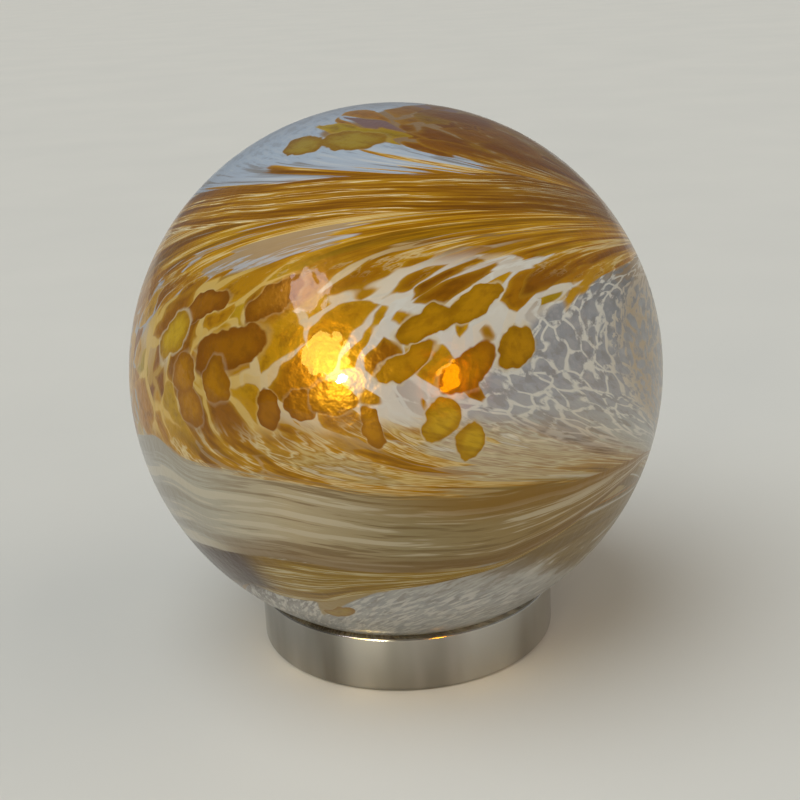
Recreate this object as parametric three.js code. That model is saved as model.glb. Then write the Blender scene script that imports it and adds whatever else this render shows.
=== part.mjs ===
// A witch ball on its display ring: a blown, sealed ball of coloured glass that rests
// by its own weight in a polished metal ring.
// Sizes are in millimetres and +Z is up. The origin is the centre of the ring's underside,
// and the ball's best side faces -Y.
import * as THREE from "three";

// The ball
const ballDiameter = 120;
const sealDiameter = 14; // ground spot underneath, where the blowing hole was closed

// The ring, cut from tube and polished
const ringOuterDiameter = 69;
const ringWall = 2.5;
const rimRounding = 1.2; // both upper edges
const footRounding = 0.5; // both lower edges

// How the two go together
const gapUnderBall = 3.3; // from the surface that the ring stands on to the ball
const seatClearance = 0.1; // between the ball and the rim that it rests on

// How finely the round forms are cut
const stepsAround = 64;
const ballSteps = 32;
const roundingSteps = 4;

const ballRadius = ballDiameter / 2;
const ringOuterRadius = ringOuterDiameter / 2;
const boreRadius = ringOuterRadius - ringWall;

// A wall has to be a little wider than its two roundings together.
const widestRounding = 0.48 * ringWall;
const rimRadius = Math.min(rimRounding, widestRounding);
const footRadius = Math.min(footRounding, widestRounding);

// The ball touches the inner rounding of the rim, so the two centres are their radii apart.
const ballCentreHeight = gapUnderBall + ballRadius;
const rimCentreRadius = boreRadius + rimRadius;
const centresApart = ballRadius + seatClearance + rimRadius;
const rimCentreHeight =
  ballCentreHeight - Math.sqrt(centresApart ** 2 - rimCentreRadius ** 2);

// Points on an arc round (x, y), both ends included, with angles from +X towards +Y.
function arc(x, y, radius, startAngle, endAngle, steps) {
  return Array.from({ length: steps + 1 }, (_, i) => {
    const angle = startAngle + ((endAngle - startAngle) * i) / steps;
    return new THREE.Vector2(
      x + radius * Math.cos(angle),
      y + radius * Math.sin(angle),
    );
  });
}

// Turns a profile of (radius, height) points about the upright axis.
function turned(profile) {
  return new THREE.LatheGeometry(profile, stepsAround).rotateX(Math.PI / 2);
}

// The sealed ball, a full sphere but for the small flat that is ground on its underside.
function glassBall() {
  const quarter = Math.PI / 2;
  const sealAngle = Math.asin(sealDiameter / ballDiameter);
  const below = arc(0, 0, ballRadius, sealAngle - quarter, 0, ballSteps / 2);
  const above = arc(0, 0, ballRadius, 0, quarter, ballSteps / 2);
  const flatCentre = new THREE.Vector2(0, below[0].y);
  const ball = new THREE.Mesh(
    turned([flatCentre, ...below, ...above.slice(1)]),
    new THREE.MeshStandardMaterial({
      color: 0xc79a4b,
      roughness: 0.05,
      metalness: 0,
    }),
  );
  ball.name = "glass_ball";
  ball.position.z = ballCentreHeight;
  return ball;
}

// The ring: a short tube with a full, soft rim on top and small roundings at its foot.
function ringStand() {
  const quarter = Math.PI / 2;
  const outerFoot = arc(
    ringOuterRadius - footRadius,
    footRadius,
    footRadius,
    -quarter,
    0,
    roundingSteps,
  );
  const outerRim = arc(
    ringOuterRadius - rimRadius,
    rimCentreHeight,
    rimRadius,
    0,
    quarter,
    roundingSteps,
  );
  const innerRim = arc(
    rimCentreRadius,
    rimCentreHeight,
    rimRadius,
    quarter,
    2 * quarter,
    roundingSteps,
  );
  const innerFoot = arc(
    boreRadius + footRadius,
    footRadius,
    footRadius,
    2 * quarter,
    3 * quarter,
    roundingSteps,
  );
  const profile = [...outerFoot, ...outerRim, ...innerRim, ...innerFoot];
  const ring = new THREE.Mesh(
    turned([...profile, profile[0].clone()]),
    new THREE.MeshStandardMaterial({
      color: 0x9c968c,
      roughness: 0.18,
      metalness: 1,
    }),
  );
  ring.name = "ring_stand";
  return ring;
}

const witchBall = new THREE.Group();
witchBall.add(ringStand(), glassBall());

export default witchBall;
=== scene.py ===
import math

import bpy
from mathutils import Matrix, Quaternion, Vector


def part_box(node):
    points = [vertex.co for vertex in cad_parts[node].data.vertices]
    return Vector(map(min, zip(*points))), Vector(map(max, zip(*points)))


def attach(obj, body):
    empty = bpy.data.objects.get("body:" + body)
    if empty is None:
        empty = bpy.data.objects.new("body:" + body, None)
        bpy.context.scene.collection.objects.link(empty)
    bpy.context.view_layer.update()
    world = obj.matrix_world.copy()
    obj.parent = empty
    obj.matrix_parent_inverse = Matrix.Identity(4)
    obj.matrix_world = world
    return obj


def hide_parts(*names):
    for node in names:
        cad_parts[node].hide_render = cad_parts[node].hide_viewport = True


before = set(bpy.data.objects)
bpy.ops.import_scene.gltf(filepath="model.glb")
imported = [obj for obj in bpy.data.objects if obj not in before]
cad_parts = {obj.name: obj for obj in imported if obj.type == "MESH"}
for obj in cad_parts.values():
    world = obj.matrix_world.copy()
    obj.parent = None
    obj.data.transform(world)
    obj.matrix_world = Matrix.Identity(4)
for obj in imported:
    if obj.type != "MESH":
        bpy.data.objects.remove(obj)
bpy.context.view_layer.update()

scene = bpy.context.scene
scene.view_settings.view_transform = "Standard"


# Camera
# A moderately long lens, held a little above the ball and turned by a few degrees, so that the
# ring's right end stands higher in the picture. The ball's centre lands on ball_pixel.
frame_pixels = 800
ball_pixel = Vector((396.1, 370.4))
sensor_width = 36.0
focal_length = 60.75
view_elevation = math.radians(17.3)
view_roll = math.radians(2.87)
camera_distance = 0.3092

ball_low, ball_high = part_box("glass_ball")
ball_radius = (ball_high.x - ball_low.x) / 2
ball_centre = Vector((0, 0, ball_high.z - ball_radius))

camera_data = bpy.data.cameras.new("photo_camera")
camera_data.sensor_width = sensor_width
camera_data.lens = focal_length
camera_data.clip_start = 0.01
camera = bpy.data.objects.new("photo_camera", camera_data)
scene.collection.objects.link(camera)
scene.camera = camera

towards_camera = Vector((0, -math.cos(view_elevation), math.sin(view_elevation)))
pixels_per_focal_length = frame_pixels * focal_length / sensor_width
off_axis = (ball_pixel - Vector((frame_pixels / 2, frame_pixels / 2))) / pixels_per_focal_length
ball_ray = Vector((off_axis.x, -off_axis.y, -1))
aimed = (-towards_camera).to_track_quat("-Z", "Y")
rolled = Quaternion((0, 0, 1), -view_roll)
framed = ball_ray.rotation_difference(Vector((0, 0, -1)))
camera.rotation_mode = "QUATERNION"
camera.rotation_quaternion = aimed @ rolled @ framed
camera.location = ball_centre + towards_camera * camera_distance


# Ring stand
# A short length of metal tube, parted off square, its rim rounded over and the whole polished
# on a mop. The ball rests on the inner rounding of the rim by its own weight.
ring_wall = 0.0025
rim_rounding = 0.0012
foot_rounding = 0.0005
ring_steps = 256
rounding_steps = 8
# Polished steel in its darker and its lighter painted reflections of the floor, in a shader's own
# linear colours
steel_in_dark_painted_reflection = (0.24, 0.225, 0.195, 1)
steel_in_light_painted_reflection = (0.54, 0.53, 0.50, 1)
# How fast the lathe's lines change along each axis, and the soft upright smears, which vary the
# polish and also paint mottled reflections of the floor into the steel's colour
lathe_lines = (60, 60, 2600)
smear_and_reflection_scale = 48.0
smear_and_reflection_squash = (1, 1, 0.2)
smear_and_reflection_turn = math.radians(19)
steel_roughness = (0.10, 0.24)


def wire(tree, node, values):
    """Wires or sets a node's inputs from {input: socket or plain value}."""
    for name, value in dict(values).items():
        if isinstance(value, bpy.types.NodeSocket):
            tree.links.new(value, node.inputs[name])
        else:
            node.inputs[name].default_value = value
    return node


def put(tree, kind, values=(), **settings):
    """A new node with these properties, its inputs wired or set."""
    node = tree.nodes.new(kind)
    for name, value in settings.items():
        setattr(node, name, value)
    return wire(tree, node, values)


def calc(tree, operation, *values):
    """A Math node's result."""
    return put(tree, "ShaderNodeMath", enumerate(values), operation=operation).outputs["Value"]


def vector_of(tree, x=0.0, y=0.0, z=0.0):
    """A vector from its parts."""
    return put(tree, "ShaderNodeCombineXYZ", {"X": x, "Y": y, "Z": z}).outputs["Vector"]


def times(tree, first, *others):
    """The product of these values."""
    product = first
    for other in others:
        product = calc(tree, "MULTIPLY", product, other)
    return product


def noise(tree, where, scale, detail, roughness=0.5, output="Fac"):
    """A Noise Texture's value or colour."""
    return put(
        tree,
        "ShaderNodeTexNoise",
        {"Vector": where, "Scale": scale, "Detail": detail, "Roughness": roughness},
    ).outputs[output]


def spread(tree, value, low, high, new_low=0.0, new_high=1.0):
    """A value moved evenly from one range to another, and kept inside it."""
    return put(
        tree,
        "ShaderNodeMapRange",
        {"Value": value, "From Min": low, "From Max": high, "To Min": new_low, "To Max": new_high},
    ).outputs["Result"]


def mix_colour(tree, share, under, over):
    """One colour laid over another by a share from 0 to 1."""
    return put(
        tree, "ShaderNodeMix", {"Factor": share, 6: under, 7: over}, data_type="RGBA"
    ).outputs[2]


def bumped(tree, height, strength, depth):
    """The normal of a surface that height raises by up to depth."""
    return put(
        tree, "ShaderNodeBump", {"Height": height, "Strength": strength, "Distance": depth}
    ).outputs["Normal"]


def new_material(name, plain_values):
    """A material, its tree and its shader, with plain values on the shader's own sockets."""
    material = bpy.data.materials.new(name)
    material.use_nodes = True
    tree = material.node_tree
    shader = wire(tree, tree.nodes["Principled BSDF"], plain_values)
    return material, tree, shader


def geometry_tree(name, numbers, whole_numbers):
    """An empty Geometry Nodes tree with these named sizes and counts as its inputs."""
    tree = bpy.data.node_groups.new(name, "GeometryNodeTree")
    for size in numbers:
        tree.interface.new_socket(size, in_out="INPUT", socket_type="NodeSocketFloat")
    for count in whole_numbers:
        tree.interface.new_socket(count, in_out="INPUT", socket_type="NodeSocketInt")
    tree.interface.new_socket("Material", in_out="INPUT", socket_type="NodeSocketMaterial")
    tree.interface.new_socket("Geometry", in_out="OUTPUT", socket_type="NodeSocketGeometry")
    return tree, tree.nodes.new("NodeGroupInput").outputs


def end_tree(tree, geometry, material):
    """Closes a tree with Realize Instances and Set Material."""
    real = put(tree, "GeometryNodeRealizeInstances", {"Geometry": geometry})
    dressed = put(
        tree,
        "GeometryNodeSetMaterial",
        {"Geometry": real.outputs["Geometry"], "Material": material},
    )
    put(tree, "NodeGroupOutput", {"Geometry": dressed.outputs["Geometry"]})


def made_by(tree, name, values):
    """The plain mesh object that a tree makes with these values for its named inputs."""
    seed_mesh = bpy.data.meshes.new(name + "_seed")
    maker = bpy.data.objects.new(name + "_maker", seed_mesh)
    scene.collection.objects.link(maker)
    modifier = maker.modifiers.new("maker", "NODES")
    modifier.node_group = tree
    for item in tree.interface.items_tree:
        if item.in_out == "INPUT" and item.name in values:
            modifier[item.identifier] = values[item.name]
    bpy.context.view_layer.update()
    evaluated = maker.evaluated_get(bpy.context.evaluated_depsgraph_get())
    mesh = bpy.data.meshes.new_from_object(evaluated)
    maker.modifiers.remove(modifier)
    bpy.data.objects.remove(maker)
    mesh.name = name
    piece = bpy.data.objects.new(name, mesh)
    scene.collection.objects.link(piece)
    return piece


def polished_steel():
    """Steel with the lathe's faint lines, and upright smears of polish and painted floor
    reflection.
    """
    material, tree, shader = new_material("polished_steel", {"Metallic": 1})
    where = put(tree, "ShaderNodeTexCoord").outputs["Object"]
    stretched = put(tree, "ShaderNodeMapping", {"Vector": where, "Scale": lathe_lines})
    lines = noise(tree, stretched.outputs["Vector"], 1.0, detail=3.0)
    upright = put(
        tree,
        "ShaderNodeMapping",
        {"Vector": where, "Rotation": (0, 0, smear_and_reflection_turn), "Scale": smear_and_reflection_squash},
    )
    smears_and_painted_reflection = noise(tree, upright.outputs["Vector"], smear_and_reflection_scale, detail=3.0)
    smears_and_painted_reflection = spread(tree, smears_and_painted_reflection, 0.36, 0.64)
    both = calc(tree, "ADD", lines, smears_and_painted_reflection)
    # The colour's dark and light smears are painted reflection of the floor; only the roughness is
    # polish.
    wire(tree, shader, {
        "Base Color": mix_colour(tree, smears_and_painted_reflection, steel_in_dark_painted_reflection, steel_in_light_painted_reflection),
        "Roughness": spread(tree, both, 0.4, 1.6, *steel_roughness),
        "Normal": bumped(tree, lines, strength=0.05, depth=0.0002),
    })
    return material


def turned_ring_tree():
    """A closed rectangle with its upper and lower corners rounded, swept round a circle."""
    tree, given = geometry_tree(
        "Turned ring",
        ["Outer Radius", "Wall", "Height", "Rim Rounding", "Foot Rounding"],
        ["Steps Around", "Rounding Steps"],
    )
    section = put(
        tree,
        "GeometryNodeCurvePrimitiveQuadrilateral",
        {"Width": given["Wall"], "Height": given["Height"]},
    ).outputs["Curve"]
    height_in_section = put(
        tree,
        "ShaderNodeSeparateXYZ",
        {"Vector": put(tree, "GeometryNodeInputPosition").outputs["Position"]},
    ).outputs["Y"]
    rounding = put(
        tree,
        "GeometryNodeSwitch",
        {"Switch": calc(tree, "GREATER_THAN", height_in_section, 0.0),
         "False": given["Foot Rounding"], "True": given["Rim Rounding"]},
        input_type="FLOAT",
    ).outputs["Output"]
    rounded = put(
        tree,
        "GeometryNodeFilletCurve",
        {"Curve": section, "Radius": rounding, "Count": given["Rounding Steps"],
         "Limit Radius": True},
        mode="POLY",
    ).outputs["Curve"]
    half_wall = times(tree, given["Wall"], 0.5)
    middle_radius = calc(tree, "SUBTRACT", given["Outer Radius"], half_wall)
    around = put(
        tree,
        "GeometryNodeCurvePrimitiveCircle",
        {"Radius": middle_radius, "Resolution": given["Steps Around"]},
    ).outputs["Curve"]
    swept = put(
        tree, "GeometryNodeCurveToMesh", {"Curve": around, "Profile Curve": rounded}
    ).outputs["Mesh"]
    half_height = times(tree, given["Height"], 0.5)
    lift = vector_of(tree, z=half_height)
    standing = put(
        tree, "GeometryNodeTransform", {"Geometry": swept, "Translation": lift}
    ).outputs["Geometry"]
    smooth = put(tree, "GeometryNodeSetShadeSmooth", {"Geometry": standing}).outputs["Geometry"]
    end_tree(tree, smooth, given["Material"])
    return tree


ring_low, ring_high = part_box("ring_stand")
ring = made_by(
    turned_ring_tree(),
    "ring_tube",
    {
        "Outer Radius": ring_high.x,
        "Wall": ring_wall,
        "Height": ring_high.z - ring_low.z,
        "Rim Rounding": rim_rounding,
        "Foot Rounding": foot_rounding,
        "Steps Around": ring_steps,
        "Rounding Steps": rounding_steps,
        "Material": polished_steel(),
    },
)
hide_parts("ring_stand")
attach(ring, "root")


# Glass wall
# The ball itself: a bubble of clear glass blown with a wall of about 4 mm, closed over its
# blowing hole and ground flat there, so that it is empty inside and sealed.
glass_wall_thickness = 0.004
skin_depth = 0.00006  # how far the clear glass starts below the colour
seal_diameter = 0.014
ball_steps = 192
ball_rings = 96


def bubble_tree():
    """A sphere cut off flat underneath, with an inner sphere that faces its hollow if asked."""
    tree, given = geometry_tree(
        "Blown bubble",
        ["Radius", "Seal Radius", "Wall", "Centre Height"],
        ["Steps Around", "Steps Up"],
    )
    steps = {"Segments": given["Steps Around"], "Rings": given["Steps Up"]}
    inner_radius = calc(tree, "SUBTRACT", given["Radius"], given["Wall"])
    outside, inside = (
        put(tree, "GeometryNodeMeshUVSphere", {"Radius": radius, **steps}).outputs["Mesh"]
        for radius in (given["Radius"], inner_radius)
    )
    squares = [calc(tree, "POWER", given[name], 2.0) for name in ("Radius", "Seal Radius")]
    flat_depth = calc(tree, "SQRT", calc(tree, "SUBTRACT", *squares))
    place = put(
        tree,
        "ShaderNodeSeparateXYZ",
        {"Vector": put(tree, "GeometryNodeInputPosition").outputs["Position"]},
    ).outputs
    held_up = calc(tree, "MAXIMUM", place["Z"], times(tree, flat_depth, -1.0))
    new_place = vector_of(tree, place["X"], place["Y"], held_up)
    ground = put(
        tree, "GeometryNodeSetPosition", {"Geometry": outside, "Position": new_place}
    ).outputs["Geometry"]
    hollow = put(tree, "GeometryNodeFlipFaces", {"Mesh": inside}).outputs["Mesh"]
    no_hollow = put(
        tree,
        "GeometryNodeSwitch",
        {"Switch": calc(tree, "GREATER_THAN", given["Wall"], 0.0), "True": hollow},
        input_type="GEOMETRY",
    ).outputs["Output"]
    both = tree.nodes.new("GeometryNodeJoinGeometry")
    tree.links.new(ground, both.inputs["Geometry"])
    tree.links.new(no_hollow, both.inputs["Geometry"])
    lift = vector_of(tree, z=given["Centre Height"])
    raised = put(
        tree,
        "GeometryNodeTransform",
        {"Geometry": both.outputs["Geometry"], "Translation": lift},
    ).outputs["Geometry"]
    smooth = put(tree, "GeometryNodeSetShadeSmooth", {"Geometry": raised}).outputs["Geometry"]
    end_tree(tree, smooth, given["Material"])
    return tree


def clear_glass():
    """See-through by plain values, with the faint waves that blowing leaves in the surface."""
    material, tree, shader = new_material(
        "clear_glass",
        {"Base Color": (0.97, 0.975, 0.96, 1), "Transmission Weight": 1, "Roughness": 0.015,
         "IOR": 1.5},
    )
    where = put(tree, "ShaderNodeTexCoord").outputs["Object"]
    waves = noise(tree, where, 45.0, detail=2.0)
    wire(tree, shader, {"Normal": bumped(tree, waves, strength=0.3, depth=0.0004)})
    return material


ball_tree = bubble_tree()
ball_sizes = {
    "Seal Radius": seal_diameter / 2,
    "Centre Height": ball_centre.z,
    "Steps Around": ball_steps,
    "Steps Up": ball_rings,
}
wall = made_by(
    ball_tree,
    "glass_wall",
    {
        **ball_sizes,
        "Radius": ball_radius - skin_depth,
        "Wall": glass_wall_thickness,
        "Material": clear_glass(),
    },
)
# Clear glass dims what is behind it so little that its shadow and bounced light are left out.
wall.visible_shadow = False
wall.visible_diffuse = False
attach(wall, "root")


# Colour skin
# Chips of amber glass and white powder, picked up on the outside of the hot ball and melted in
# flush, then pulled sideways round the ball by a tool at two heights.
swirl_lean = (math.radians(-18.5), math.radians(2.9), 0)
# Each pull, in degrees: lean of its axis, height on the ball, reach above and below that, and how
# far it drags the glass.
upper_pull = {"Lean": 0, "Latitude": 32.5, "Reach Above": 5, "Reach Below": 7, "Amount": 130}
lower_pull = {"Lean": -10, "Latitude": -33, "Reach Above": 9.5, "Reach Below": 6.2, "Amount": 112}
pull_fall_off = 1.5


def shown(red, green, blue):
    """A colour as a screen shows it, in the linear values that a shader takes."""
    linear = [
        part / 12.92 if part <= 0.04045 else ((part + 0.055) / 1.055) ** 2.4
        for part in (red, green, blue)
    ]
    return (*linear, 1)


def shader_group(name, inputs, outputs):
    """An empty shader node group with named sockets, its inputs' outlets and its output node."""
    group = bpy.data.node_groups.new(name, "ShaderNodeTree")
    for socket, kind in inputs.items():
        group.interface.new_socket(socket, in_out="INPUT", socket_type="NodeSocket" + kind)
    for socket, kind in outputs.items():
        group.interface.new_socket(socket, in_out="OUTPUT", socket_type="NodeSocket" + kind)
    return group, group.nodes.new("NodeGroupInput").outputs, group.nodes.new("NodeGroupOutput")


def use(tree, group, values):
    """The outputs of a node that uses this group."""
    return put(tree, "ShaderNodeGroup", values.items(), node_tree=group).outputs


def vector_calc(tree, operation, *values, scale=None):
    """A Vector Math node's outputs."""
    node = put(tree, "ShaderNodeVectorMath", enumerate(values), operation=operation)
    if scale is not None:
        node.inputs["Scale"].default_value = scale
    return node.outputs


def shaken(tree, where, scale, detail, reach):
    """The vector where, moved at random by up to about half of reach."""
    any_way = noise(tree, where, scale, detail, output="Color")
    both_ways = vector_calc(tree, "SUBTRACT", any_way, (0.5, 0.5, 0.5))["Vector"]
    shake = vector_calc(tree, "SCALE", both_ways, scale=reach)["Vector"]
    return vector_calc(tree, "ADD", where, shake)["Vector"]


def cells(tree, where, scale, feature="F1"):
    """A Voronoi Texture's outputs."""
    return put(
        tree, "ShaderNodeTexVoronoi", {"Vector": where, "Scale": scale}, feature=feature
    ).outputs


def ramp(tree, value, low, high):
    """0 where value is low, 1 where it is high, and smooth between. low may be the larger."""
    return put(
        tree,
        "ShaderNodeMapRange",
        {"Value": value, "From Min": low, "From Max": high},
        interpolation_type="SMOOTHSTEP",
    ).outputs["Result"]


def mix_value(tree, share, under, over):
    """One value laid over another by a share from 0 to 1."""
    return put(tree, "ShaderNodeMix", {"Factor": share, 2: under, 3: over}).outputs[0]


def curve_value(tree, value, points):
    """A curve drawn through given (x, y) points that lie between 0 and 1."""
    node = put(tree, "ShaderNodeFloatCurve", {"Value": value})
    curve = node.mapping.curves[0]
    while len(curve.points) < len(points):
        curve.points.new(0.5, 0.5)
    for spot, place in zip(curve.points, points):
        spot.location = place
        spot.handle_type = "AUTO_CLAMPED"
    node.mapping.update()
    return node.outputs["Value"]


def ramp_colour(tree, value, stops):
    """A colour ramp through (place, colour) stops."""
    node = put(tree, "ShaderNodeValToRGB", {"Fac": value})
    elements = node.color_ramp.elements
    while len(elements) < len(stops):
        elements.new(0.5)
    for element, (place, colour) in zip(elements, stops):
        element.position = place
        element.color = colour
    return node.outputs


def undo_pull_group():
    """Where a point of the finished ball lay before the glass was pulled round an axis."""
    group, given, result = shader_group(
        "Undo a pull",
        {"Vector": "Vector", "Axis": "Vector", "Latitude": "Float", "Reach Above": "Float",
         "Reach Below": "Float", "Amount": "Float"},
        {"Vector": "Vector"},
    )
    along = vector_calc(group, "DOT_PRODUCT", given["Vector"], given["Axis"])["Value"]
    height = calc(group, "SUBTRACT", calc(group, "ARCSINE", along), given["Latitude"])
    above = calc(group, "GREATER_THAN", height, 0.0)
    reach = mix_value(group, above, given["Reach Below"], given["Reach Above"])
    steps_away = calc(group, "ABSOLUTE", calc(group, "DIVIDE", height, reach))
    weaker = calc(group, "POWER", steps_away, pull_fall_off)
    turn = calc(group, "DIVIDE", given["Amount"], calc(group, "ADD", weaker, 1.0))
    turned = put(
        group,
        "ShaderNodeVectorRotate",
        {"Vector": given["Vector"], "Axis": given["Axis"],
         "Angle": times(group, turn, -1.0)},
        rotation_type="AXIS_ANGLE",
    ).outputs["Vector"]
    wire(group, result, {"Vector": turned})
    return group


# How the colours were laid, in degrees: (height on the ball, left edge of the amber chips, their
# right edge, and the share of them that there is room for)
amber_patch = [
    (-90, -50, -50, 0.0), (-62, -52, -52, 0.7), (-59, -55, -45, 0.8), (-54, -64, -37, 0.8),
    (-51, -100, -28, 0.85), (-48, -128, -18, 0.7), (-46, -114, -14, 0.35), (-44, -104, -16, 0.2),
    (-41, -100, -58, 0.25), (-38, -91, -62, 0.3), (-34, -82, -57, 0.4), (-31, -78, -50, 0.9),
    (-25, -79, -40, 1.0), (-21, -80, -34, 1.0), (-15, -84, -24, 0.9), (-9, -88, -17, 0.8),
    (0, -89, -8, 0.9), (8, -86, 0, 1.0), (12, -81, 3, 1.0), (17, -66, 6, 1.0),
    (22, -60, 6, 1.0), (27, -76, 2, 1.0), (30, -110, 1, 1.0), (33, -150, 5, 1.0),
    (36, -84, 24, 1.0), (39, -36, 32, 0.95), (43, -22, 36, 0.9), (47, -30, 37, 0.9),
    (51, -46, 38, 1.0), (56, -32, 44, 1.0), (62, -21, 40, 0.95), (69, -2, 36, 0.75),
    (74, 10, 12, 0.3), (90, 10, 10, 0.0),
]
# The powder left of the amber and right of it, by height: its colour and how well it covers.
# The left powder's bluish upper rows are white with a painted cool sky light on it.
powder_left_with_painted_sky = [
    (-90, (0.60, 0.61, 0.62), 0.90), (-60, (0.58, 0.60, 0.61), 0.88),
    (-53, (0.46, 0.45, 0.44), 0.90), (-46, (0.46, 0.39, 0.28), 0.95),
    (-40, (0.50, 0.43, 0.31), 0.95), (-35, (0.58, 0.53, 0.43), 0.95),
    (-24, (0.64, 0.62, 0.56), 0.95), (-8, (0.60, 0.59, 0.57), 0.92), (8, (0.62, 0.62, 0.64), 0.92),
    (24, (0.72, 0.71, 0.70), 0.95), (34, (0.66, 0.68, 0.71), 0.95), (46, (0.64, 0.69, 0.74), 0.92),
    (62, (0.64, 0.68, 0.73), 0.90), (90, (0.66, 0.66, 0.66), 0.90),
]
powder_right = [
    (-90, (0.62, 0.64, 0.65), 0.85), (-55, (0.62, 0.64, 0.65), 0.85),
    (-49, (0.66, 0.66, 0.64), 0.85), (-45, (0.50, 0.43, 0.27), 0.92),
    (-38, (0.49, 0.41, 0.23), 0.92), (-33, (0.52, 0.44, 0.22), 0.90),
    (-28, (0.64, 0.62, 0.56), 0.80), (-20, (0.68, 0.69, 0.68), 0.78),
    (-8, (0.64, 0.65, 0.67), 0.72), (12, (0.55, 0.57, 0.60), 0.64), (26, (0.46, 0.40, 0.30), 0.75),
    (38, (0.40, 0.30, 0.18), 0.90), (50, (0.44, 0.35, 0.26), 0.90), (68, (0.54, 0.50, 0.48), 0.90),
    (90, (0.66, 0.66, 0.66), 0.90),
]
# Amber at the back's edge, as (end, full, full, end) across and up
far_amber_patch = {"Across": (-165, -145, -86, -76), "Heights": (-22, -14, 30, 36)}
far_amber_share = 0.8
# The two belts where the pulls have drawn the colours out into fine lines
upper_belt = (12, 22, 41, 46)
lower_belt = (-52, -47, -24, -13)
# Where what is on the right gives way again behind the ball: its powder, and its drawn bands
powder_back = (120, 170)
bands_back = (110, 165)


def up(degrees):
    """A height on the ball, from -90 to 90 degrees, as 0 to 1."""
    return degrees / 180 + 0.5


def along(degrees):
    """A place round the ball, from -180 to 180 degrees, as 0 to 1."""
    return degrees / 360 + 0.5


def globe(tree, where):
    """The place round the ball and the height of a vector, both as 0 to 1."""
    unit = vector_calc(tree, "NORMALIZE", where)["Vector"]
    place = put(tree, "ShaderNodeSeparateXYZ", {"Vector": unit}).outputs
    across = calc(tree, "ARCTAN2", place["X"], times(tree, place["Y"], -1.0))
    across = calc(tree, "MULTIPLY_ADD", across, 1 / math.tau, 0.5)
    height = calc(tree, "MULTIPLY_ADD", calc(tree, "ARCSINE", place["Z"]), 1 / math.pi, 0.5)
    return across, height


def between(tree, value, limits):
    """1 between the two middle limits, falling to 0 at the outer two."""
    low_end, low_full, high_full, high_end = limits
    rising = ramp(tree, value, low_end, low_full)
    return times(tree, rising, ramp(tree, value, high_end, high_full))


def belt(tree, height, heights):
    """The same for heights in degrees."""
    return between(tree, height, [up(degrees) for degrees in heights])


def patch(tree, across, height, place):
    """1 inside a place that has four limits across and four up, all in degrees."""
    reach = between(tree, across, [along(degrees) for degrees in place["Across"]])
    return times(tree, belt(tree, height, place["Heights"]), reach)


def rightward(tree, across, start, full):
    """0 left of start and 1 right of full, in degrees, and back to 0 behind the ball."""
    return between(tree, across, [along(degrees) for degrees in (start, full, *bands_back)])


def round_ball(tree, across, radius, height):
    """A place for a noise that has no seam behind the ball: a point of an upright cylinder."""
    angle = times(tree, across, math.tau)
    return vector_of(
        tree,
        times(tree, calc(tree, "SINE", angle), radius),
        times(tree, calc(tree, "COSINE", angle), radius),
        height,
    )


def coats(tree, colour, *layers):
    """A colour with others laid over it in turn, as (share, colour) pairs."""
    for share, tint in layers:
        colour = mix_colour(tree, share, colour, tint)
    return colour


def zones_group():
    """What was laid at a point before the pulls: amber chips, and the powder round them."""
    group, given, result = shader_group(
        "Zones of colour",
        {"Vector": "Vector"},
        {"Amber": "Float", "Inside": "Float", "Right": "Float", "Height": "Float",
         "Across": "Float", "Powder": "Color", "Cover": "Float"},
    )
    across, height = globe(group, given["Vector"])
    left = curve_value(group, height, [(up(h), along(start)) for h, start, _, _ in amber_patch])
    right = curve_value(group, height, [(up(h), along(end)) for h, _, end, _ in amber_patch])
    share = curve_value(group, height, [(up(h), room) for h, _, _, room in amber_patch])
    soft_edge = 0.004
    wide_edge = 0.03
    inside = times(
        group,
        ramp(group, calc(group, "SUBTRACT", across, left), -soft_edge, soft_edge),
        ramp(group, calc(group, "SUBTRACT", right, across), -soft_edge, soft_edge),
    )
    far_amber = times(group, patch(group, across, height, far_amber_patch), far_amber_share)
    amber = calc(group, "MAXIMUM", times(group, inside, share), far_amber)

    # From the left powder to the right one across the amber, and back again behind the ball
    middle = times(group, calc(group, "ADD", left, right), 0.5)
    past_middle = calc(group, "SUBTRACT", across, middle)
    gone_right = ramp(group, past_middle, -wide_edge, wide_edge)
    last_right, first_left = (along(degrees) for degrees in powder_back)
    right_side = times(group, gone_right, ramp(group, across, first_left, last_right))
    sides = [
        ramp_colour(group, height, [(up(h), (*shown(*tint)[:3], cover)) for h, tint, cover in side])
        for side in (powder_left_with_painted_sky, powder_right)
    ]
    wire(group, result, {
        "Amber": amber,
        "Inside": inside,
        "Right": right_side,
        "Height": height,
        "Across": across,
        "Powder": mix_colour(group, right_side, sides[0]["Color"], sides[1]["Color"]),
        "Cover": mix_value(group, right_side, sides[0]["Alpha"], sides[1]["Alpha"]),
    })
    return group


chip_reach = 0.8  # how far a chip may reach from its cell's middle, in cells
# Layers of chips, each over the last: cells to the ball's radius, how much flatter than wide, the
# share of the cells that are chips, and the heights in degrees that they lie between
chip_layers = [
    {"Scale": 10.0, "Squash": 0.5, "Share": 0.95, "From": -50, "To": -12},
    {"Scale": 12.0, "Squash": 0.8, "Share": 0.85, "From": -17, "To": 90},
    {"Scale": 7.6, "Squash": 0.75, "Share": 0.92, "From": -15, "To": 90},
    {"Scale": 6.0, "Squash": 0.6, "Share": 0.95, "From": 9, "To": 34},
    {"Scale": 3.8, "Squash": 2.2, "Share": 0.85, "From": 22, "To": 90},
]
# The layer whose chips have their gaps filled with cream
veined_layer = 2


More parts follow.
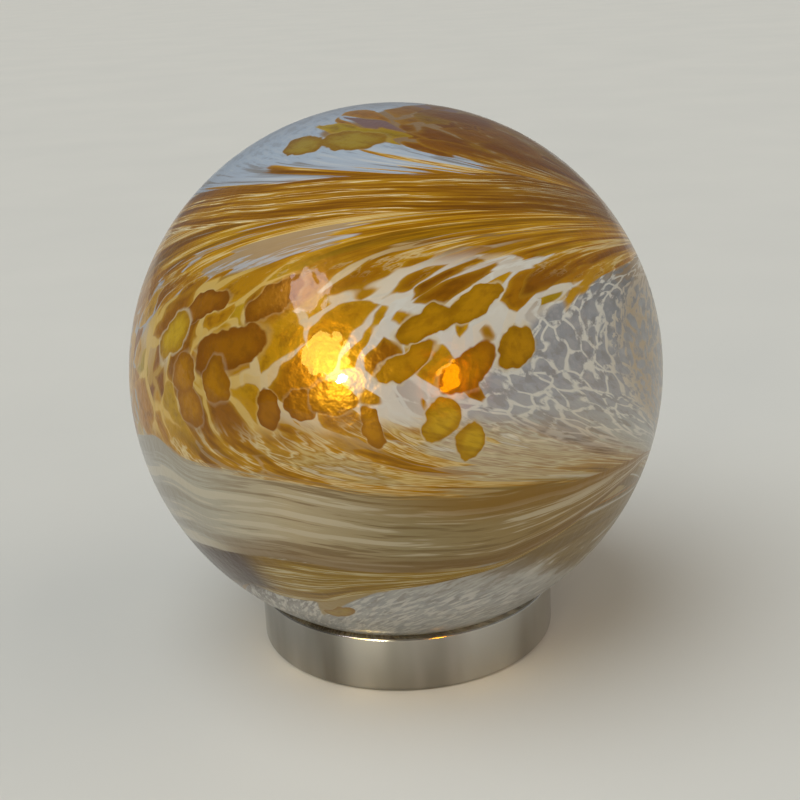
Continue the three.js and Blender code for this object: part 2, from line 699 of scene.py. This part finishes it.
def chip_group(zones):
    """A layer of chips: whole cells that are there or not by the zone that their middle is in."""
    group, given, result = shader_group(
        "Chips",
        {"Vector": "Vector", "Vein": "Float", "Scale": "Float", "Squash": "Float",
         "Share": "Float", "From": "Float", "To": "Float"},
        {"Mask": "Float", "Tone": "Float", "Odd": "Float", "Rim": "Float", "Line": "Float"},
    )
    squash = vector_of(group, 1.0, 1.0, given["Squash"])
    squashed = vector_calc(group, "MULTIPLY", given["Vector"], squash)["Vector"]
    cell = cells(group, squashed, given["Scale"])
    edge = cells(group, squashed, given["Scale"], "DISTANCE_TO_EDGE")["Distance"]
    chance = put(group, "ShaderNodeSeparateColor", {"Color": cell["Color"]}).outputs
    middle = vector_calc(group, "DIVIDE", cell["Position"], squash)["Vector"]
    zone = use(group, zones, {"Vector": middle})
    there = times(
        group,
        calc(group, "LESS_THAN", chance["Red"], times(group, zone["Amber"], given["Share"])),
        calc(group, "GREATER_THAN", zone["Height"], given["From"]),
        calc(group, "LESS_THAN", zone["Height"], given["To"]),
    )
    # Cut back from the veins, and rounded by a reach from the middle
    past_vein = calc(
        group,
        "MINIMUM",
        calc(group, "SUBTRACT", edge, given["Vein"]),
        calc(group, "SUBTRACT", chip_reach, cell["Distance"]),
    )
    wire(group, result, {
        "Mask": times(group, there, ramp(group, past_vein, 0.0, 0.05)),
        "Tone": chance["Green"],
        "Odd": chance["Blue"],
        "Rim": ramp(group, past_vein, 0.16, 0.0),
        "Line": ramp(group, past_vein, 0.06, 0.0),
    })
    return group


# Chips that stand out, where they are now, in degrees: (across, height, half length, half width,
# tilt of the length above level). Each kind has its colour in the middle and at the edge, and how
# strongly the cream line round it shows.
standing_chips = [
    {
        "Middle": (0.57, 0.35, 0.0), "Edge": (0.48, 0.27, 0.0), "Line": 0.15,
        "Chips": [
            (-33, 3, 8.5, 4.2, 16), (-25, -8, 3.4, 2.2, 98), (-18, -7, 3.4, 2.8, 0),
            (-24, 12, 6.5, 2.8, 34), (-41, 11, 7, 2, 20),
        ],
    },
    {
        "Middle": (0.65, 0.43, 0.0), "Edge": (0.55, 0.34, 0.0), "Line": 0.2,
        "Chips": [
            (12, -1, 6.2, 3.4, 50), (-5, -12, 4.2, 2.0, 120), (-36, -3, 4.0, 3.0, 70),
            (-45, -1, 4.0, 3.0, 82), (-12, -6, 4.3, 3.0, 150), (-44, -8, 4.2, 2.6, 114),
        ],
    },
    {
        "Middle": (0.68, 0.48, 0.02), "Edge": (0.60, 0.42, 0.0), "Line": 0.6,
        "Chips": [
            (21, 3, 4.2, 3.0, 47), (5, 7, 6.2, 2.5, 25), (1, 0, 5.8, 2.1, 33), (14, 11, 6, 2, 30),
        ],
    },
    {
        "Middle": (0.74, 0.59, 0.10), "Edge": (0.64, 0.47, 0.02), "Line": 0.6,
        "Chips": [(7, -10, 3.4, 3.0, 80), (13, -14, 3.5, 2.9, 110), (-49, 6, 6.0, 2.8, 45)],
    },
    {
        "Middle": (0.58, 0.48, 0.16), "Edge": (0.52, 0.38, 0.06), "Line": 0.1,
        "Chips": [(-29, 49, 4, 3, -8), (-14, 49.5, 6.6, 3.2, -3), (-23, -57, 3.4, 1.8, 12)],
    },
]


def laid_places(tree):
    """Where a point of the ball is now, and where it lay before the pulls, as unit vectors."""
    where = put(tree, "ShaderNodeTexCoord").outputs["Object"]
    centred = vector_calc(tree, "SUBTRACT", where, tuple(ball_centre))["Vector"]
    unit = vector_calc(tree, "NORMALIZE", centred)["Vector"]
    leaned = put(
        tree,
        "ShaderNodeVectorRotate",
        {"Vector": unit, "Rotation": swirl_lean},
        rotation_type="EULER_XYZ",
        invert=True,
    ).outputs["Vector"]
    undo_pull = undo_pull_group()
    laid = leaned
    for pull in (lower_pull, upper_pull):
        lean = math.radians(pull["Lean"])
        laid = use(
            tree,
            undo_pull,
            {"Vector": laid, "Axis": (math.sin(lean), 0, math.cos(lean)),
             **{name: math.radians(size) for name, size in pull.items() if name != "Lean"}},
        )["Vector"]
    return leaned, laid


# The powder drawn out: white lines, brownish gaps, honey under the upper pull, and white grains
white_line = shown(0.80, 0.79, 0.76)
brown_gap = shown(0.40, 0.32, 0.18)
honey_line = shown(0.62, 0.46, 0.14)
white_grain = shown(0.82, 0.82, 0.80)
honey_heights = (12, 18, 30, 36)
# What fills the gaps among the chips, and how well it covers
among_cover = 0.92
honey_fill_and_painted_glow = shown(0.70, 0.54, 0.22)
lilac_fill = shown(0.68, 0.66, 0.64)
cream_cloud = shown(0.84, 0.80, 0.72)
golden_fill = shown(0.62, 0.47, 0.18)
dark_gold_line = shown(0.52, 0.36, 0.06)
tan_fill = shown(0.54, 0.43, 0.30)
straw_fill = shown(0.62, 0.54, 0.36)


def past_height(tree, here, start, full):
    """0 at one height of what was laid and 1 at another, in degrees. start may be the higher."""
    return ramp(tree, here["Height"], up(start), up(full))


def past_across(tree, here, start, full):
    """The same for places round the ball."""
    return ramp(tree, here["Across"], along(start), along(full))


def lay_powder(tree, grain, here, slow, streaks, in_belt):
    """White powder, drawn into lines by the pulls, granular low down and open among the chips."""
    contrast = calc(tree, "MULTIPLY_ADD", in_belt, 0.4, 0.2)
    honey_belt = belt(tree, here["Height"], honey_heights)
    grains = ramp(tree, noise(tree, grain, 1.0, detail=3.0), 0.48, 0.60)
    colour = coats(
        tree,
        here["Powder"],
        (times(tree, ramp(tree, streaks, 0.50, 0.60), contrast), white_line),
        (times(tree, ramp(tree, streaks, 0.47, 0.40), contrast), brown_gap),
        (times(tree, ramp(tree, streaks, 0.47, 0.53), honey_belt, 0.75), honey_line),
        (times(tree, past_height(tree, here, -46, -56), grains, 0.8), white_grain),
    )
    # Among the chips it is honey coloured on the left and a greyish lilac on the right. The honey
    # reaches to where the low sun glints, partly as a painted golden glow round that glint.
    among = coats(
        tree,
        honey_fill_and_painted_glow,
        (past_across(tree, here, -55, -20), lilac_fill),
        (times(tree, ramp(tree, slow, 0.42, 0.6), 0.5), cream_cloud),
        (times(tree, past_height(tree, here, 4, 14), 0.6), golden_fill),
        (times(tree, ramp(tree, streaks, 0.46, 0.53), in_belt, 0.8), dark_gold_line),
        (past_height(tree, here, 40, 48), tan_fill),
        (past_height(tree, here, -24, -36), straw_fill),
    )
    colour = mix_colour(tree, here["Inside"], colour, among)
    return colour, mix_value(tree, here["Inside"], here["Cover"], among_cover)


# The web near the chips and beyond: cells to the ball's radius, width of a thread, and colour
near_web = {"Scale": 13.0, "Thread": 0.12, "Colour": shown(0.82, 0.81, 0.77)}
far_web = {"Scale": 19.0, "Thread": 0.22, "Colour": shown(0.66, 0.59, 0.48)}
web_heights = (-28, -18, 20, 27)
web_cover = 0.9


def lay_web(tree, drifted, here, fine, colour, cover):
    """Right of the chips the powder is a web: coarse and white close by, finer and beige beyond."""
    web_belt = belt(tree, here["Height"], web_heights)
    open_side = times(tree, here["Right"], past_across(tree, here, -46, -30), web_belt)
    beyond = past_across(tree, here, 10, 24)
    far_side = calc(tree, "GREATER_THAN", calc(tree, "ADD", beyond, fine), 1.0)
    curled = shaken(tree, drifted, scale=11.0, detail=1.0, reach=0.13)
    scale = mix_value(tree, far_side, near_web["Scale"], far_web["Scale"])
    edge = cells(tree, curled, scale, "DISTANCE_TO_EDGE")["Distance"]
    width = mix_value(tree, far_side, near_web["Thread"], far_web["Thread"])
    thread = ramp(tree, calc(tree, "DIVIDE", edge, width), 1.0, 0.35)
    unbroken = ramp(tree, fine, 0.36, 0.52)
    web = times(tree, thread, unbroken, open_side)
    tint = mix_colour(tree, beyond, near_web["Colour"], far_web["Colour"])
    return mix_colour(tree, web, colour, tint), mix_value(tree, web, cover, web_cover)


# Ambers from chip to chip, and from the dark of a drawn line to its cream middle and back
chip_tones = [
    (0.0, (0.47, 0.26, 0.0)), (0.3, (0.55, 0.34, 0.0)), (0.6, (0.65, 0.43, 0.0)),
    (0.85, (0.70, 0.51, 0.02)), (1.0, (0.60, 0.50, 0.06)),
]
drawn_ambers = [
    (0.32, (0.30, 0.16, 0.01)), (0.42, (0.44, 0.26, 0.0)), (0.48, (0.60, 0.39, 0.0)),
    (0.54, (0.76, 0.56, 0.08)), (0.575, (0.90, 0.82, 0.60)), (0.61, (0.68, 0.46, 0.02)),
    (0.70, (0.46, 0.27, 0.0)),
]
dark_mottle = shown(0.38, 0.21, 0.0)
pale_rim = shown(0.78, 0.60, 0.12)
burnt_amber = shown(0.34, 0.18, 0.03)
olive_amber = shown(0.46, 0.37, 0.12)
mauve_chip = shown(0.44, 0.34, 0.33)
mauve_chance = 0.3


def shown_ramp(tree, value, stops):
    """A colour ramp's colour, from stops with their colours as a screen shows them."""
    return ramp_colour(tree, value, [(place, shown(*tint)) for place, tint in stops])["Color"]


def chip_shade(tree, chips, here, fine, streaks, in_belt):
    """A chip's own amber, mottled, lighter at its rim and drawn into lines by the pulls."""
    drawn = shown_ramp(tree, streaks, drawn_ambers)
    burnt = times(tree, past_height(tree, here, 30, 42), past_across(tree, here, -45, 5), 0.7)
    odd = calc(tree, "GREATER_THAN", chips["Odd"], 1 - mauve_chance)
    return coats(
        tree,
        shown_ramp(tree, chips["Tone"], chip_tones),
        (times(tree, ramp(tree, fine, 0.42, 0.72), 0.5), dark_mottle),
        (times(tree, chips["Rim"], 0.4), pale_rim),
        (times(tree, in_belt, 0.75), drawn),
        (burnt, burnt_amber),
        (times(tree, past_height(tree, here, -26, -38), 0.4), olive_amber),
        (times(tree, odd, past_height(tree, here, 50, 56)), mauve_chip),
    )


# The gaps between the chips of one layer, filled with honey on the left and cream on the right,
# only round the middle of the ball: real veins, made brighter there as a painted highlight
gap_and_painted_highlight_heights = (-18, -12, 14, 22)
gap_honey = shown(0.82, 0.68, 0.36)
gap_cream = shown(0.84, 0.82, 0.77)


def lay_chips(tree, zones, drifted, frayed, here, fine, streaks, in_belt, colour, cover):
    """The layers of melted chips, each over the last."""
    chip = chip_group(zones)
    # The veins between them vary in width, and open towards the lower right.
    vein = calc(tree, "MULTIPLY_ADD", noise(tree, drifted, 7.0, detail=1.0), 0.40, -0.165)
    sparse = times(tree, past_across(tree, here, -55, -15), past_height(tree, here, 10, 2), 0.05)
    vein = calc(tree, "ADD", vein, sparse)
    gap_and_painted_highlight_belt = belt(tree, here["Height"], gap_and_painted_highlight_heights)
    gap_fill = mix_colour(tree, past_across(tree, here, -60, -28), gap_honey, gap_cream)
    for layer, sizes in enumerate(chip_layers):
        heights = {name: up(sizes[name]) for name in ("From", "To")}
        chips = use(tree, chip, {"Vector": frayed, "Vein": vein, **sizes, **heights})
        if layer == veined_layer:
            # Lighter veins round the middle only: partly real cream, partly a painted highlight.
            gaps = times(tree, chips["Line"], here["Inside"], gap_and_painted_highlight_belt, 0.8)
            colour = mix_colour(tree, gaps, colour, gap_fill)
        shade = chip_shade(tree, chips, here, fine, streaks, in_belt)
        colour = mix_colour(tree, chips["Mask"], colour, shade)
        cover = mix_value(tree, chips["Mask"], cover, 1.0)
    return colour, cover


# The last of the chips, drawn thin over white: from the gaps between the lines to their middles
sweep_heights = (-37, -30, -18, -11)
sweep_colours = [
    (0.36, (0.40, 0.25, 0.0)), (0.43, (0.56, 0.37, 0.0)), (0.49, (0.74, 0.53, 0.06)),
    (0.52, (0.92, 0.87, 0.68)), (0.55, (0.66, 0.46, 0.02)), (0.60, (0.86, 0.78, 0.54)),
    (0.64, (0.66, 0.50, 0.10)), (0.67, (0.90, 0.86, 0.74)), (0.72, (0.66, 0.54, 0.22)),
]


def lay_sweep(tree, here, broad, colour):
    """Golden and cream lines under the chips, where the lower pull has drawn them out."""
    lines = shown_ramp(tree, broad, sweep_colours)
    there = times(
        tree,
        belt(tree, here["Height"], sweep_heights),
        past_across(tree, here, -110, -88),
        past_across(tree, here, 10, -25),
        0.6,
    )
    return mix_colour(tree, there, colour, lines)


def globe_point(across, height):
    """The unit vector at a place on the ball, in degrees."""
    turn, rise = math.radians(across), math.radians(height)
    return Vector((
        math.cos(rise) * math.sin(turn), -math.cos(rise) * math.cos(turn), math.sin(rise)
    ))


def from_oval(tree, where, across, height, length, width, tilt):
    """How far a vector is from the middle of an oval chip: 1 at the chip's edge."""
    middle = globe_point(across, height)
    east = Vector((0, 0, 1)).cross(middle).normalized()
    north = middle.cross(east)
    along_chip = math.cos(math.radians(tilt)) * east + math.sin(math.radians(tilt)) * north
    over_chip = middle.cross(along_chip)
    turned = Matrix((along_chip, over_chip, middle)).transposed().to_euler()
    sizes = (math.radians(length), math.radians(width), math.radians(length))
    from_middle = put(
        tree,
        "ShaderNodeMapping",
        {"Vector": where, "Location": middle, "Rotation": turned, "Scale": sizes},
        vector_type="TEXTURE",
    ).outputs["Vector"]
    return vector_calc(tree, "LENGTH", from_middle)["Value"]


chip_line = shown(0.80, 0.74, 0.60)
chip_mottle = shown(0.42, 0.25, 0.0)


def lay_standing_chips(tree, leaned, fine, colour, cover):
    """Oval chips at their own places, each in a thin cream line, their outlines uneven."""
    uneven = shaken(tree, leaned, scale=8.0, detail=0.0, reach=0.05)
    uneven = shaken(tree, uneven, scale=24.0, detail=1.0, reach=0.035)
    for kind in standing_chips:
        nearest, *others = (from_oval(tree, uneven, *place) for place in kind["Chips"])
        for reach in others:
            nearest = calc(tree, "MINIMUM", nearest, reach)
        line = times(tree, ramp(tree, nearest, 1.25, 1.05), kind["Line"])
        there = ramp(tree, nearest, 1.08, 0.98)
        tint = coats(
            tree,
            shown(*kind["Middle"]),
            (ramp(tree, nearest, 0.45, 1.0), shown(*kind["Edge"])),
            (times(tree, ramp(tree, fine, 0.42, 0.7), 0.4), chip_mottle),
        )
        colour = coats(tree, colour, (line, chip_line), (there, tint))
        cover = mix_value(tree, there, cover, 1.0)
    return colour, cover


# The pulls' lines: radius of their noise's way round the ball, and its steps between two edges
line_radius = 0.95
lines_between_edges = 8.0


def drawn_lines(tree, across, height, low, high):
    """Lines that run along between two edges, the share of the way up, and a ragged mask."""
    share = calc(
        tree, "DIVIDE", calc(tree, "SUBTRACT", height, low), calc(tree, "SUBTRACT", high, low)
    )
    flow = round_ball(tree, across, line_radius, times(tree, share, lines_between_edges))
    lines = noise(tree, flow, 1.0, detail=4.0, roughness=0.65)
    ragged = calc(tree, "MULTIPLY_ADD", calc(tree, "SUBTRACT", lines, 0.5), 0.5, share)
    mask = times(
        tree, ramp(tree, ragged, -0.03, 0.03), ramp(tree, ragged, 1.03, 0.97)
    )
    return share, lines, mask


# The lower pull's band as it lies now, in degrees: (across, top, bottom, foot of the amber below)
lower_band = [
    (-180, -22, -36, -38), (-120, -14, -37, -40), (-75, -14, -37.5, -42), (-61, -14, -38, -45),
    (-48, -18.5, -39, -50), (-38, -20, -39.5, -52.5), (-27, -21.5, -40, -53),
    (-13, -23.5, -42, -50), (1, -25, -43, -48), (16, -25, -42.5, -45), (31, -23, -39, -40),
    (45, -20.5, -31.5, -32), (57, -18.5, -24, -24), (72, -17, -19, -19), (120, -20, -26, -26),
    (180, -22, -36, -38),
]
# Its colours by degrees across, those of the amber's lines below, and the lines through it
band_colours = [
    (-180, (0.58, 0.55, 0.48)), (-75, (0.64, 0.63, 0.60)), (-45, (0.70, 0.68, 0.61)),
    (-24, (0.72, 0.66, 0.53)), (3, (0.57, 0.52, 0.38)), (35, (0.55, 0.46, 0.27)),
    (60, (0.50, 0.39, 0.19)), (120, (0.56, 0.52, 0.44)), (180, (0.58, 0.55, 0.48)),
]
foot_amber = [
    (0.34, (0.36, 0.25, 0.04)), (0.46, (0.52, 0.40, 0.08)), (0.53, (0.60, 0.49, 0.16)),
    (0.57, (0.76, 0.72, 0.58)), (0.62, (0.52, 0.41, 0.08)),
]
band_cover = 0.95
foot_wedge = {"Across": (-105, -85, -48, -34), "Heights": (-52, -48, -40, -36)}
wedge_brown = shown(0.20, 0.14, 0.12)
band_dark_line = shown(0.38, 0.29, 0.15)
band_pale_line = shown(0.82, 0.78, 0.68)
band_brown_foot = shown(0.42, 0.30, 0.10)
band_amber_top = shown(0.50, 0.36, 0.06)


def edges_of(tree, across, rows):
    """The heights of a band's edges at a place round the ball, as 0 to 1, from rows in degrees."""
    return [
        curve_value(tree, across, [(along(row[0]), up(row[edge])) for row in rows])
        for edge in range(1, len(rows[0]))
    ]


def lay_lower_band(tree, across, height, colour, cover):
    """Greyed powder and amber that the lower pull drew out into lines, and amber along its foot."""
    top, bottom, foot = edges_of(tree, across, lower_band)
    _, lines, mask = drawn_lines(tree, across, height, foot, bottom)
    amber = shown_ramp(tree, lines, foot_amber)
    visible = times(tree, mask, rightward(tree, across, -66, -52))
    colour = mix_colour(tree, visible, colour, amber)
    cover = mix_value(tree, visible, cover, 1.0)
    wedge = patch(tree, across, height, foot_wedge)
    colour = mix_colour(tree, wedge, colour, wedge_brown)

    share, lines, mask = drawn_lines(tree, across, height, bottom, top)
    stops = [(along(place), tint) for place, tint in band_colours]
    stronger = calc(tree, "MULTIPLY_ADD", rightward(tree, across, -50, -20), 0.6, 0.4)
    at_foot = ramp(tree, share, 0.35, 0.02)
    at_top = ramp(tree, share, 0.62, 0.90)
    band = coats(
        tree,
        shown_ramp(tree, across, stops),
        (times(tree, ramp(tree, lines, 0.48, 0.42), 0.6, stronger), band_dark_line),
        (times(tree, ramp(tree, lines, 0.53, 0.58), 0.55), band_pale_line),
        (times(tree, at_foot, 0.7, rightward(tree, across, -60, -40)), band_brown_foot),
        (times(tree, at_top, 0.85, rightward(tree, across, -15, 20)), band_amber_top),
    )
    return mix_colour(tree, mask, colour, band), mix_value(tree, mask, cover, band_cover)


# The same for the upper pull's: (across, top, bottom), and its amber from dark to light
upper_band = [
    (-180, 37, 29), (-90, 38, 30), (-60, 38, 28), (-30, 37, 28), (0, 38, 29), (30, 39, 30),
    (60, 38, 31), (120, 36, 31), (180, 37, 29),
]
band_amber = [
    (0.30, (0.34, 0.19, 0.01)), (0.43, (0.48, 0.29, 0.0)), (0.50, (0.60, 0.40, 0.02)),
    (0.56, (0.70, 0.51, 0.10)), (0.585, (0.90, 0.84, 0.66)), (0.61, (0.60, 0.40, 0.04)),
    (0.72, (0.44, 0.26, 0.02)),
]
brown_amber = shown(0.36, 0.21, 0.04)


def lay_upper_band(tree, across, height, colour, cover):
    """Amber that the upper pull drew out into lines all the way round, browner on the right."""
    top, bottom = edges_of(tree, across, upper_band)
    _, lines, mask = drawn_lines(tree, across, height, bottom, top)
    amber = shown_ramp(tree, lines, band_amber)
    browner = times(tree, rightward(tree, across, -5, 45), 0.6)
    amber = mix_colour(tree, browner, amber, brown_amber)
    return mix_colour(tree, mask, colour, amber), mix_value(tree, mask, cover, 1.0)


# The white grains low down: how far their rows slant, and how closely they lie
grain_slant = 0.8
grain_radius = 30.0
grain_rows = 80.0


def melted_colour():
    """The colours melted into the glass, see-through where the powder lies thin, under a gloss."""
    material, tree, shader = new_material(
        "amber_and_white_colour",
        {"Roughness": 0.28, "IOR": 1.5, "Specular Tint": shown(1.0, 0.72, 0.2),
         "Coat Weight": 0.35, "Coat Roughness": 0.03},
    )
    leaned, laid = laid_places(tree)
    # Nothing here was ruled: slow noise moves it all a little, and finer noise frays the edges.
    drifted = shaken(tree, laid, scale=2.5, detail=1.0, reach=0.10)
    frayed = shaken(tree, drifted, scale=13.0, detail=1.0, reach=0.045)
    zones = zones_group()
    here = use(tree, zones, {"Vector": frayed})
    fine = noise(tree, drifted, 26.0, detail=3.0, roughness=0.6)
    slow = noise(tree, drifted, 4.0, detail=1.0)
    # Drawn out a dozen times over, only the broad part of a noise still shows as lines.
    upright = vector_calc(tree, "MULTIPLY", drifted, (1.0, 1.0, 0.3))["Vector"]
    broad = noise(tree, upright, 6.0, detail=4.0, roughness=0.7)
    in_belt = calc(
        tree,
        "MAXIMUM",
        belt(tree, here["Height"], upper_belt),
        belt(tree, here["Height"], lower_belt),
    )
    streaks = mix_value(tree, in_belt, fine, broad)
    across, height = globe(tree, shaken(tree, leaned, scale=3.0, detail=1.0, reach=0.03))
    # Fine grains in rows that slant up to the right
    slanted = calc(tree, "SUBTRACT", across, times(tree, height, grain_slant))
    grain = round_ball(tree, slanted, grain_radius, times(tree, height, grain_rows))

    colour, cover = lay_powder(tree, grain, here, slow, streaks, in_belt)
    colour, cover = lay_web(tree, drifted, here, fine, colour, cover)
    colour, cover = lay_chips(
        tree, zones, drifted, frayed, here, fine, streaks, in_belt, colour, cover
    )
    colour = lay_sweep(tree, here, broad, colour)
    colour, cover = lay_lower_band(tree, across, height, colour, cover)
    colour, cover = lay_upper_band(tree, across, height, colour, cover)
    colour, cover = lay_standing_chips(tree, leaned, fine, colour, cover)

    # The chips are uneven under the gloss, so that a lamp glitters in them, and the gloss itself
    # has the soft waves of blown glass.
    uneven = noise(tree, leaned, 30.0, detail=2.0)
    waves = noise(tree, leaned, 9.0, detail=2.0)
    wire(tree, shader, {
        "Base Color": colour,
        "Alpha": cover,
        "Normal": bumped(tree, uneven, strength=0.28, depth=0.0005),
        "Coat Normal": bumped(tree, waves, strength=0.5, depth=0.0005),
    })
    # To light on its way to a shadow it is an even veil, which looks the same and costs far less.
    veil = put(tree, "ShaderNodeBsdfTransparent", {"Color": shown(0.50, 0.46, 0.38)})
    seen = put(
        tree,
        "ShaderNodeMixShader",
        {"Fac": put(tree, "ShaderNodeLightPath").outputs["Is Shadow Ray"],
         1: shader.outputs["BSDF"], 2: veil.outputs["BSDF"]},
    )
    wire(tree, tree.nodes["Material Output"], {"Surface": seen.outputs["Shader"]})
    return material


skin = made_by(
    ball_tree,
    "colour_skin",
    {**ball_sizes, "Radius": ball_radius, "Wall": 0.0, "Material": melted_colour()},
)
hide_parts("glass_ball")
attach(skin, "root")


# Floor and light
# A plain pale floor. Two broad lamps light it all: a cool one high on the left and a weak warm one
# on the right. Four small ones light nothing and only show in the gloss, as a low sun, the glare
# round it, an orange lamp and a window.
floor_radius = 12.0
floor_steps = 96
grey_room = shown(0.80, 0.80, 0.80)
room_strength = 0.35
floor_mesh = bpy.data.meshes.new("floor")
floor_mesh.from_pydata(
    [(floor_radius * math.cos(math.tau * i / floor_steps),
      floor_radius * math.sin(math.tau * i / floor_steps), 0) for i in range(floor_steps)],
    [],
    [range(floor_steps)],
)
floor = bpy.data.objects.new("floor", floor_mesh)
scene.collection.objects.link(floor)


def pale_floor():
    """Matt and pale, with a faint slow mottle."""
    material, tree, shader = new_material("pale_floor", {"Roughness": 0.8})
    where = put(tree, "ShaderNodeTexCoord").outputs["Object"]
    mottle = noise(tree, where, 9.0, detail=4.0)
    tint = mix_colour(tree, mottle, shown(0.80, 0.785, 0.75), shown(0.84, 0.82, 0.78))
    wire(tree, shader, {"Base Color": tint})
    return material


floor_mesh.materials.append(pale_floor())

world = bpy.data.worlds.new("studio")
world.use_nodes = True
background = world.node_tree.nodes["Background"]
wire(world.node_tree, background, {"Color": grey_room, "Strength": room_strength})
scene.world = world


def far_light(name, across, height, breadth, strength, colour, lights=True, mirrored=True):
    """A lamp far off, in degrees: across from the front to the right, and height.

    It may only light things, or only be mirrored in them.
    """
    data = bpy.data.lights.new(name, "SUN")
    data.angle = math.radians(breadth)
    data.energy = strength
    data.color = colour[:3]
    lamp = bpy.data.objects.new(name, data)
    lamp.visible_diffuse = lights
    lamp.visible_glossy = mirrored
    lamp.rotation_euler = globe_point(across, height).to_track_quat("Z", "Y").to_euler()
    scene.collection.objects.link(lamp)


far_light("sky", -60, 62, 60, 2.2, shown(0.93, 0.97, 1.0), mirrored=False)
far_light("fill", 75, 35, 60, 0.8, shown(1.0, 0.97, 0.92), mirrored=False)
far_light("low_sun", -23, 13, 4, 3.5, shown(1.0, 0.97, 0.85), lights=False)
far_light("glare", -31, 22, 16, 2.2, shown(1.0, 0.84, 0.40), lights=False)
far_light("orange_lamp", 21, 12, 10, 1.0, shown(1.0, 0.66, 0.0), lights=False)
far_light("window", -50, 45, 17, 0.8, shown(0.95, 0.92, 1.0), lights=False)
